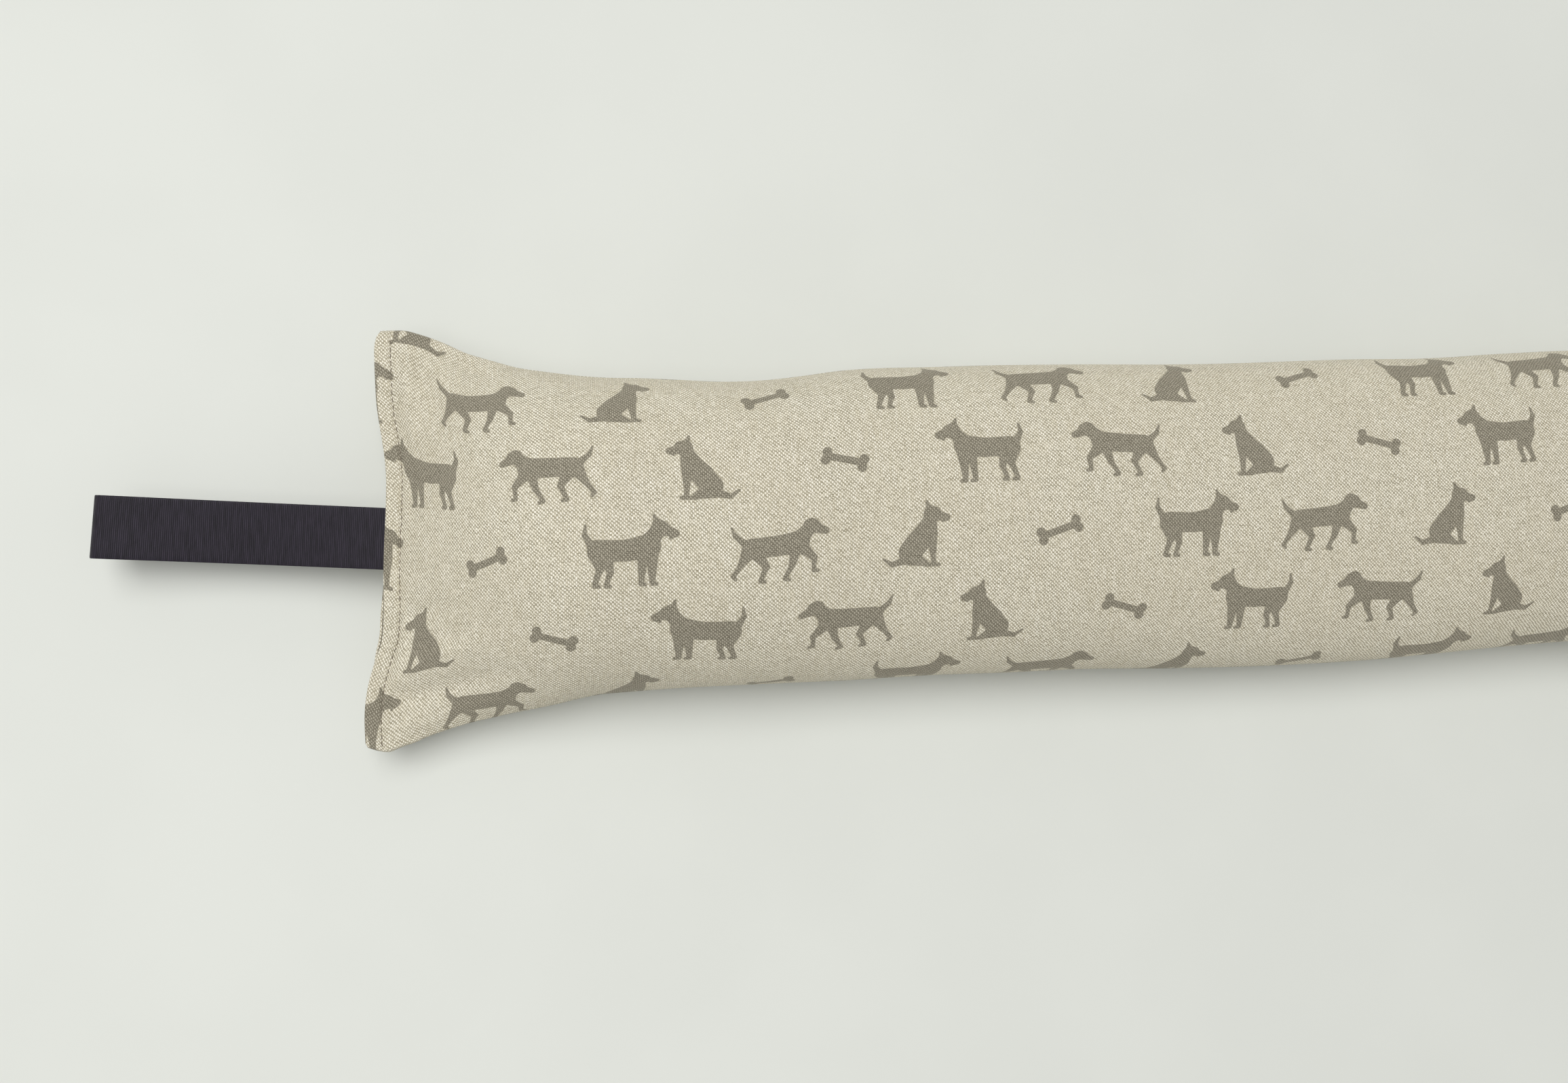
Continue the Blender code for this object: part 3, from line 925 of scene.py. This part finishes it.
# %% Threads of the cloth
THREAD_MM = 0.755
cloth_material, cloth_shader, w = new_material(
    "printed_linen_look", Roughness=0.9, Sheen_Weight=0.30, Sheen_Roughness=0.35,
    Sheen_Tint=screen(250, 243, 224), Specular_IOR_Level=0.2)
u_mm, v_mm = [side * 1000.0 for side in w.flat_place()]
drift_u = w.noise(w.point(u_mm, v_mm, 3.0), 0.33, 1.0) - 0.5
drift_v = w.noise(w.point(u_mm, v_mm, 60.0), 0.33, 1.0) - 0.5
a = (u_mm + drift_u * 0.9) / THREAD_MM
b = (v_mm + drift_v * 0.9) / THREAD_MM
wave_a = w.maths("SINE", a * np.pi)
wave_b = w.maths("SINE", b * np.pi)
ridge_a, ridge_b = abs(wave_a), abs(wave_b)
twist = w.maths("COSINE", (a + b) * np.pi)
cream_no, flax_no = a.floor(), b.floor()
slub = w.noise(w.point(cream_no * 7.31, v_mm * 0.8, 3.0), 1.0, 1.0) - 0.5
on_top = wave_a * wave_b + ridge_a * 0.45 - twist * 0.16 + slub * 2.2 - 0.06
cream_on_top = on_top.ramp(-0.2, 0.2)
print("weave nodes:", len(w.tree.nodes))

# %% [markdown]
# Tones come in three sizes: each dot is painted lightest where its thread crowns
# and the gaps between the flax threads are painted dark, a painted highlight and
# painted shade; every thread has lighter and darker stretches, and the whole cloth
# has faint patches a few centimetres wide. Fine grain stands for the fibres.

# %% Tones of the threads
# painted highlight and painted shade: each cream dot is lighter at its crown and darker at its
# sides; the cream and flax tones themselves are the yarns' own colours
crown = (ridge_a ** 0.7 * (on_top + 0.3)).ramp(0.15, 1.0)
cream_run = w.noise(w.point(cream_no * 7.31, v_mm * 0.11, 9.0), 1.0, 2.0).ramp(0.25, 0.75)
flax_run = w.noise(w.point(u_mm * 0.11, flax_no * 7.31, 5.0), 1.0, 2.0).ramp(0.25, 0.75)
cream_painted_side_shade = cream_run.tint(screen(198, 191, 169), screen(218, 211, 192))
cream_painted_crown_highlight = cream_run.tint(screen(241, 234, 215), screen(255, 251, 238))
cream = crown.tint(cream_painted_side_shade, cream_painted_crown_highlight)
flax_tone = flax_run.tint(screen(163, 156, 134), screen(191, 184, 163))
# painted shade: the flax threads turn dark in the gaps between them
flax = (ridge_b ** 0.7).tint(screen(116, 110, 89), flax_tone)
bare_cloth = cream_on_top.tint(flax, cream)
grain = w.noise(w.point(u_mm, v_mm, 20.0), 4.2, 2.0).ramp(0.25, 0.75)
bare_cloth = (grain * 0.26).tint(bare_cloth, screen(139, 130, 112))
patch = w.noise(w.point(u_mm * 0.024, v_mm * 0.024), 1.0, 3.0).ramp(0.3, 0.7)
bare_cloth = (patch * 0.10).tint(bare_cloth, screen(186, 173, 146))
thread_height = cream_on_top.blend(ridge_b ** 0.8 * 0.5, crown * 0.6 + 0.4)
print("nodes with tones:", len(w.tree.nodes))

# %% [markdown]
# ## The print
# Dark grey-brown silhouettes are printed on the cloth in even rows. The design
# here is a plain one of its own: standing, trotting and sitting dogs and a bone.
# A silhouette is a handful of tapered round bars, as one would block in a figure
# with a marker pen. A distance formula gives each bar, and a smooth minimum melts
# them together. It stays sharp at any size and needs no picture.
#
# Each row of the table is one bar: x, y and radius at its start, then at its
# end, in millimetres, with the nose towards +x.

# %% Bars of the four motifs
STANDING = [
    (-10.6, 2.0, 4.2, 0.0, 1.8, 4.0), (0.0, 1.8, 4.0, 8.4, 2.8, 4.7),
    (9.2, 4.8, 3.4, 12.2, 8.8, 2.7), (12.7, 9.8, 3.1, 14.0, 9.4, 2.9),
    (14.6, 8.9, 2.2, 18.9, 7.7, 1.5), (18.2, 7.3, 1.2, 17.0, 6.0, 0.7),
    (11.8, 12.0, 1.3, 10.9, 14.6, 0.5), (-11.4, 0.6, 3.3, -10.2, -4.8, 1.6),
    (-10.2, -4.8, 1.4, -12.4, -11.0, 0.95), (-12.4, -11.4, 0.95, -10.8, -11.7, 0.75),
    (-7.6, -1.0, 2.4, -6.4, -6.2, 1.3), (-6.4, -6.2, 1.15, -8.0, -11.2, 0.9),
    (-8.0, -11.5, 0.9, -6.6, -11.7, 0.7), (9.6, -0.6, 2.5, 9.4, -11.0, 1.05),
    (9.4, -11.4, 0.95, 11.0, -11.7, 0.75), (6.0, -1.0, 2.1, 5.2, -11.0, 1.0),
    (5.2, -11.4, 0.9, 6.8, -11.7, 0.7), (-13.4, 4.2, 1.6, -15.6, 8.0, 0.95),
    (-15.6, 8.0, 0.95, -15.2, 11.6, 0.45)]
TROTTING = [
    (-10.0, 1.6, 4.0, 0.0, 2.2, 3.9), (0.0, 2.2, 3.9, 8.4, 2.8, 4.4),
    (9.6, 4.6, 3.3, 13.0, 7.8, 2.6), (13.6, 8.6, 2.9, 15.0, 8.2, 2.6),
    (15.4, 7.5, 2.1, 19.6, 5.9, 1.35), (12.3, 9.0, 1.9, 10.8, 5.6, 1.3),
    (-11.4, 0.6, 3.0, -14.4, -4.2, 1.4), (-14.4, -4.2, 1.2, -17.6, -8.6, 0.85),
    (-17.7, -8.8, 0.85, -16.8, -10.0, 0.65), (-8.2, -0.4, 2.7, -4.8, -5.6, 1.35),
    (-4.8, -5.6, 1.2, -7.0, -10.8, 0.9), (-7.0, -11.0, 0.9, -5.4, -11.4, 0.7),
    (10.0, 0.2, 2.5, 14.4, -4.0, 1.25), (14.4, -4.0, 1.1, 14.2, -8.6, 0.85),
    (14.3, -8.9, 0.85, 15.8, -9.2, 0.7), (7.0, 0.0, 2.4, 5.4, -5.8, 1.3),
    (5.4, -5.8, 1.15, 2.6, -10.6, 0.9), (2.6, -10.9, 0.9, 4.2, -11.4, 0.7),
    (-12.8, 3.6, 1.5, -16.4, 6.6, 0.9), (-16.4, 6.6, 0.9, -17.8, 9.8, 0.4)]
SITTING = [
    (-4.2, -6.4, 4.7, -1.2, -2.6, 4.6), (-1.2, -2.6, 4.6, 3.0, 2.8, 3.9),
    (3.0, 2.8, 3.8, 4.4, 7.0, 2.8), (4.8, 8.9, 3.1, 6.2, 8.8, 2.8),
    (6.8, 8.1, 2.1, 11.0, 7.2, 1.4), (10.4, 6.8, 1.1, 9.4, 5.8, 0.6),
    (3.9, 11.2, 1.3, 3.0, 13.8, 0.5), (-4.0, -8.2, 3.6, 1.8, -10.8, 1.35),
    (1.8, -11.3, 1.0, 4.2, -11.7, 0.75), (4.4, 0.6, 2.7, 5.0, -5.6, 1.4),
    (5.0, -5.6, 1.3, 5.4, -11.0, 0.95), (5.4, -11.4, 0.95, 7.4, -11.7, 0.75),
    (-7.0, -9.6, 1.7, -11.6, -10.8, 0.95), (-11.6, -10.8, 0.95, -15.0, -8.4, 0.45)]
BONE = [
    (-6.4, -2.0, 1.45, 6.4, 2.0, 1.45), (-8.0, -0.8, 2.0, -8.0, -0.8, 2.0),
    (-6.9, -4.0, 2.0, -6.9, -4.0, 2.0), (8.0, 0.8, 2.0, 8.0, 0.8, 2.0),
    (6.9, 4.0, 2.0, 6.9, 4.0, 2.0)]
MOTIFS = [STANDING, TROTTING, SITTING, BONE]
print("bars in all:", sum(len(m) for m in MOTIFS))

# %% [markdown]
# The cloth is divided into cells like a wall of bricks, and each cell works out
# its own row, column and motif. In every second row the cells are mirrored. All
# four motifs are measured in every cell, and the three that don't belong to it
# are pushed far away, so that only one can print.

# %% The layout of the print
CELL_LONG, CELL_HIGH = 58.0, 33.0
FIRST_ROW_MM = 6.0
PUSH_MM = 50.0            # how far a motif that isn't the cell's own is pushed away
MELT_MM = 0.9             # over which two bars melt together
row_no = ((v_mm - FIRST_ROW_MM) / CELL_HIGH).floor()
odd_row = row_no % 2.0
shifted = u_mm / CELL_LONG + odd_row * 0.5
column_no = shifted.floor()
cell_x = (shifted - column_no - 0.5) * CELL_LONG * (1 - odd_row * 2)
cell_y = (v_mm - FIRST_ROW_MM) - (row_no + 0.5) * CELL_HIGH
which = (column_no + row_no) % float(len(MOTIFS))
spot = w.point(cell_x, cell_y)


def bar(spot, x0, y0, r0, x1, y1, r1):
    """Distance from a spot to one tapered bar, negative inside it."""
    dx, dy = x1 - x0, y1 - y0
    size = dx * dx + dy * dy
    if size < 1e-6:
        return spot.vector("DISTANCE", spot, (x0, y0, 0), output=1) - r0
    out = spot.vector("SUBTRACT", spot, (x0, y0, 0))
    run = out.vector("DOT_PRODUCT", out, (dx / size, dy / size, 0), output=1)
    run = run.maths("ADD", run, 0.0, clamp=True)
    foot = run.node("ShaderNodeVectorMath", {"operation": "SCALE"},
                    {0: (dx, dy, 0), 3: run})
    away = out.vector("DISTANCE", out, foot, output=1)
    return away + run.maths("MULTIPLY_ADD", run, r0 - r1, -r0)


def motif_distance(spot, bars):
    """All bars of one motif melted together."""
    whole = bar(spot, *bars[0])
    for row in bars[1:]:
        whole = whole.maths("SMOOTH_MIN", whole, bar(spot, *row), MELT_MM)
    return whole


printed = None
for index, bars in enumerate(MOTIFS):
    elsewhere = abs(which - float(index)) * PUSH_MM
    field = motif_distance(spot, bars) + elsewhere
    printed = field if printed is None else w.maths("MINIMUM", printed, field)
print("nodes with the print:", len(w.tree.nodes))

# %% [markdown]
# Printing ink lies on the tops of the threads and thins out in the gaps, so its
# edge is broken by the weave. Its face is lighter over the cream threads and darker
# over the flax ones, and is also painted lighter at thread crowns and darker in the
# gaps, a painted highlight and painted shade. The distance is shifted a little by
# the thread height before it is cut.

# %% Ink on the threads
ragged = printed + (0.5 - thread_height) * 0.30
ink_here = 1 - ragged.ramp(-0.12, 0.12)
# partly the ink over two yarn colours, partly painted highlight and painted shade: lighter at
# thread crowns, darker in the gaps
ink_yarn_tone_and_painted_relief = thread_height.ramp(0.1, 0.95)
ink = ink_yarn_tone_and_painted_relief.tint(screen(85, 80, 65), screen(175, 168, 151))
ink = (grain * 0.25).tint(ink, screen(92, 87, 72))
final_colour = (ink_here * 0.97).tint(bare_cloth, ink)
# painted shade: the slit's mouth between the lips is darkened in the cloth's colour, standing in
# for the shadow there
painted_slit_shade_mask = w.node("ShaderNodeAttribute", {"attribute_name": "slit_shade"}, {}, "Fac")
final_colour = (painted_slit_shade_mask.ramp(0.0, 1.0) * 0.85).tint(final_colour, screen(70, 62, 48))
plug(cloth_shader, "Base Color", final_colour)
plug(cloth_shader, "Roughness", ink_here.blend(0.92, 0.84))
height = thread_height + grain * 0.2
bump = w.node("ShaderNodeBump", {}, {"Strength": 0.8, "Distance": 0.00020, "Height": height})
plug(cloth_shader, "Normal", bump)
cover.data.materials.append(cloth_material)
print("cloth nodes in all:", len(w.tree.nodes))

# %% [markdown]
# ## The topstitching
# One row of machine stitches runs across each end, 6.5 mm in from the folded
# edge. A dark line in the material would lie flat, so each stitch is a small bent
# tube that dips into the cloth at both ends, on the front and on the back.

# %% Stitches as small bent tubes
STITCH_MM = 3.0
STITCH_GAP_MM = 0.45
THREAD_RADIUS = 0.00017
ROW_MARGIN = 0.0016       # from the side of the cloth to the first stitch


def unit(rows):
    return rows / np.linalg.norm(rows, axis=1)[:, None]


def tube(points, radius, sides=6):
    """A thread of round section along points, closed at both ends."""
    step = unit(np.gradient(points, axis=0))
    side = unit(np.cross(step, (0, 0, 1.0)))
    over = np.cross(side, step)
    turns = np.linspace(0, 2 * np.pi, sides, endpoint=False)[:, None]
    n = len(points)
    radii = radius * np.sqrt(np.clip(1 - np.linspace(-1, 1, n)**6, 0.12, 1))
    rows = [p + r * (np.cos(turns) * s + np.sin(turns) * o)
            for p, r, s, o in zip(points, radii, side, over)]
    verts = np.concatenate(rows + [points[:1], points[-1:]])
    faces = [[r * sides + k for r, k in corners] for corners in grid(n, sides)]
    last = (n - 1) * sides
    faces += [(n * sides, (k + 1) % sides, k) for k in range(sides)]
    faces += [(n * sides + 1, last + k, last + (k + 1) % sides) for k in range(sides)]
    return verts, faces


def stitch_row(line, side):
    """The stitches of one row, each a thread that dips in at both ends."""
    run = length_along(line)
    start = ROW_MARGIN
    while start + 0.002 < run[-1] - ROW_MARGIN:
        length = (STITCH_MM - STITCH_GAP_MM + rng.uniform(-0.25, 0.25)) / 1000
        t = np.linspace(0, 1, 9)
        at = start + t * length
        points = np.stack([np.interp(at, run, line[:, c]) for c in range(3)], axis=1)
        points[:, 0] += rng.uniform(-0.00012, 0.00012) + (t - 0.5) * rng.uniform(-0.0003, 0.0003)
        points[:, 2] += side * (np.sin(np.pi * t)**0.6 * 0.00042 - 0.00026)
        yield tube(points, THREAD_RADIUS)
        start += (STITCH_MM + rng.uniform(-0.1, 0.1)) / 1000


stitch_verts, stitch_faces = [], []
channel = int(np.argmin(np.abs(RINGS - CHANNEL_MM / 1000)))
for r in (channel, len(cloth) - 1 - channel):
    for line, side in zip(layers(cloth[r]), (1, -1)):
        for verts, faces in stitch_row(line, side):
            stitch_faces += [[k + len(stitch_verts) for k in face] for face in faces]
            stitch_verts += list(verts)
print("stitching faces:", len(stitch_faces))

# %% [markdown]
# Sewing thread is twisted from strands, so its tone flickers along a stitch. At
# this size a fine noise does for the twist.

# %% The sewing thread
thread_material, thread_shader, t = new_material("taupe_thread", Roughness=0.6)
thread_spot = t.node("ShaderNodeTexCoord", {}, {}, "Object")
twist = t.noise(thread_spot, 2600.0, 1.0).ramp(0.35, 0.65)
plug(thread_shader, "Base Color", twist.tint(screen(92, 83, 70), screen(132, 121, 105)))
plug(thread_shader, "Roughness", twist.blend(0.5, 0.7))
stitching = make_piece("end_stitching", stitch_verts, stitch_faces, {})
stitching.data.materials.append(thread_material)
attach(stitching, "root")
print("stitching box:", [round(v, 3) for v in stitching.dimensions])

# %% [markdown]
# ## The ribbon loop
# The hanging loop is one length of ribbed black ribbon, folded back on itself,
# with both ends sewn into the end seam. It is swept along the path of the solid
# model, thinner than the solid, and its ends go on into the slit between the
# lips. A cloth simulation could bend it, but the path is known.

# %% Path and form of the ribbon
RIBBON_THICK = 0.00075
RIBBON_REACH = 0.1120
RIBBON_DRIFT = 0.0088
SEAM_GAP = 0.0004
# columns: distance, height of its middle, half the space between layer middles
RIBBON_RUN = np.array([
    (-3.0, 30.95, 0.42), (0, 30.9, 0.44), (5, 30.3, 0.62), (12, 29.4, 0.82), (30, 26.9, 0.95),
    (50, 25.0, 1.40), (70, 24.6, 2.30), (85, 25.1, 3.30), (97, 25.6, 4.10), (104, 25.9, 4.30),
    (108, 26.0, 4.05)])
FOLD_START = 108.0
FOLD_ROUND = 3.8


def ribbon_line():
    """Middle of the ribbon's thickness, out over the top and back underneath."""
    rows = np.linspace(-2.6, FOLD_START, 150)
    height = table(rows, RIBBON_RUN, 1)
    space = table(rows, RIBBON_RUN, 2)
    over = np.stack([rows, height + space], axis=1)
    back = np.stack([rows, height - space], axis=1)[::-1]
    angle = np.linspace(np.pi / 2, -np.pi / 2, 27)[1:-1]
    turn = np.stack([FOLD_START + FOLD_ROUND * np.cos(angle),
                     height[-1] + space[-1] * np.sin(angle)], axis=1)
    return np.concatenate([over, turn, back]) / 1000


def make_ribbon():
    line = ribbon_line()
    step = unit(np.gradient(line, axis=0))
    side = np.stack([-step[:, 1], step[:, 0]], axis=1) * RIBBON_THICK / 2
    run = length_along(line)
    angle = np.arctan2(RIBBON_DRIFT, RIBBON_REACH)
    shares = np.array([-1.0, -0.985, -0.95, -0.8, -0.5, -0.2, 0.2, 0.5, 0.8, 0.95, 0.985, 1.0])
    outline = np.concatenate([np.arange(len(line)), np.arange(len(line))[::-1]])
    face_of = np.concatenate([np.ones(len(line)), -np.ones(len(line))])
    rows = []
    for share in shares:
        thin = {1.0: 0.35, 0.985: 0.8}.get(abs(share), 1.0)
        across = share * RIBBON_WIDTH / 2
        root = reach_out("left", np.array([RIBBON_START_Y + across]), 0.0)[0]
        reach = line[outline, 0] + side[outline, 0] * thin * face_of
        height = line[outline, 1] + side[outline, 1] * thin * face_of
        part = np.clip(reach / RIBBON_REACH, 0, 1)
        square = smooth(reach / 0.06)
        x = -LENGTH / 2 - SEAM_GAP - reach * np.cos(angle) - root * (1 - square)
        x = x + square * np.sin(angle) * across + 0.0004 * share * part
        y = RIBBON_START_Y + reach * np.sin(angle) + np.cos(angle) * across
        z = height + 0.0008 * share * np.sin(np.pi * part)
        rows.append(np.stack([x, y, z], axis=1))
    return np.array(rows), run, outline, face_of, shares


ribbon_rows, ribbon_run, outline, face_of, shares = make_ribbon()
print("ribbon length sewn in:", round(float(ribbon_run[-1]) * 1000, 1), "mm")

# %% [markdown]
# The rows of points above run once round the folded strip, over its upper face
# and back inside, so the same grid of faces that made the tube makes the ribbon.
# Two more strips close its narrow edges.

# %% The ribbon's mesh
U_START, U_SCALE, V_MIDDLE = 0.01, 2.0, 0.3
count_r = ribbon_rows.shape[1]
ids = np.arange(ribbon_rows.size // 3).reshape(ribbon_rows.shape[:2]).tolist()
faces, flat, baked = [], [], []


def ribbon_spot(s, k):
    return (float(ribbon_run[outline[k]]) * U_SCALE + U_START,
            V_MIDDLE + float(shares[s]) * RIBBON_WIDTH / 2)


def ribbon_baked(s, k, side_of):
    return (0.01 + 0.98 * float(ribbon_run[outline[k]] / ribbon_run[-1]),
            (0.02 if side_of > 0 else 0.27) + 0.2 * (float(shares[s]) + 1) / 2)


for corners in grid(len(shares), count_r):
    faces.append([ids[s][k] for s, k in corners])
    flat += [ribbon_spot(s, k) for s, k in corners]
    baked += [ribbon_baked(s, k, face_of[corners[0][1]]) for s, k in corners]
for s, lift in ((0, 0.52), (len(shares) - 1, 0.56)):
    for k in range(count_r // 2 - 1):
        other = count_r - 1 - k
        faces.append((ids[s][k], ids[s][k + 1], ids[s][other - 1], ids[s][other]))
        flat += [ribbon_spot(s, n) for n in (k, k + 1, k + 1, k)]
        x0, x1 = ribbon_baked(s, k, 1)[0], ribbon_baked(s, k + 1, 1)[0]
        baked += [(x0, lift), (x1, lift), (x1, lift + 0.03), (x0, lift + 0.03)]
ribbon = make_piece("ribbon_loop", ribbon_rows.reshape(-1, 3), faces,
                    {"cloth": flat, "OFBake": baked})
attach(ribbon, "root")
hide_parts("hanging_loop")

# %% [markdown]
# Ribbed ribbon has fine ribs straight across it, 0.74 mm apart, and a narrow firm
# edge on both sides. It is a purplish black; the ribs' tops are painted a touch
# lighter and the grooves darker, a painted highlight and painted shade.
# The ribs need no points of their own: a wave along the ribbon's flat coordinate
# drives colour, roughness and bump.

# %% The ribbon's finish
RIB_MM = 0.74
ribbon_material, ribbon_shader, q = new_material(
    "ribbed_ribbon", Specular_IOR_Level=0.2, Sheen_Weight=0.05, Sheen_Roughness=0.4)
ribbon_u, ribbon_v = q.flat_place()
run_mm = (ribbon_u - U_START) * (1000.0 / U_SCALE)
side_mm = (ribbon_v - V_MIDDLE) * 1000.0
rib_wave = abs(run_mm.maths("SINE", run_mm * (np.pi / RIB_MM)))
rib = rib_wave ** 0.7
edge_band = abs(side_mm).ramp(11.7, 12.1)
rib = edge_band.blend(rib, 0.7)
fibre = q.noise(q.point(run_mm * 0.3, side_mm * 4.0), 3.0, 2.0)
rib_no = (run_mm / RIB_MM).floor()
rib_tone = q.noise(q.point(rib_no * 3.7, side_mm * 0.12), 1.0, 2.0).ramp(0.25, 0.75)
# painted highlight and painted shade: rib tops get a lighter tone, which also varies at random
# from rib to rib, and the grooves between ribs get a darker one
dark = rib_tone.tint(screen(23, 20, 27), screen(44, 39, 50))
tone = rib.ramp(0.1, 0.9).tint(screen(18, 15, 21), dark)
plug(ribbon_shader, "Base Color", (fibre.ramp(0.4, 0.8) * 0.3).tint(tone, screen(60, 53, 66)))
plug(ribbon_shader, "Roughness", rib.blend(0.75, 0.5))
plug(ribbon_shader, "Normal", q.node("ShaderNodeBump", {}, {
    "Strength": 0.8, "Distance": 0.00012, "Height": rib + fibre * 0.2}))
ribbon.data.materials.append(ribbon_material)
print("ribbon nodes:", len(q.tree.nodes))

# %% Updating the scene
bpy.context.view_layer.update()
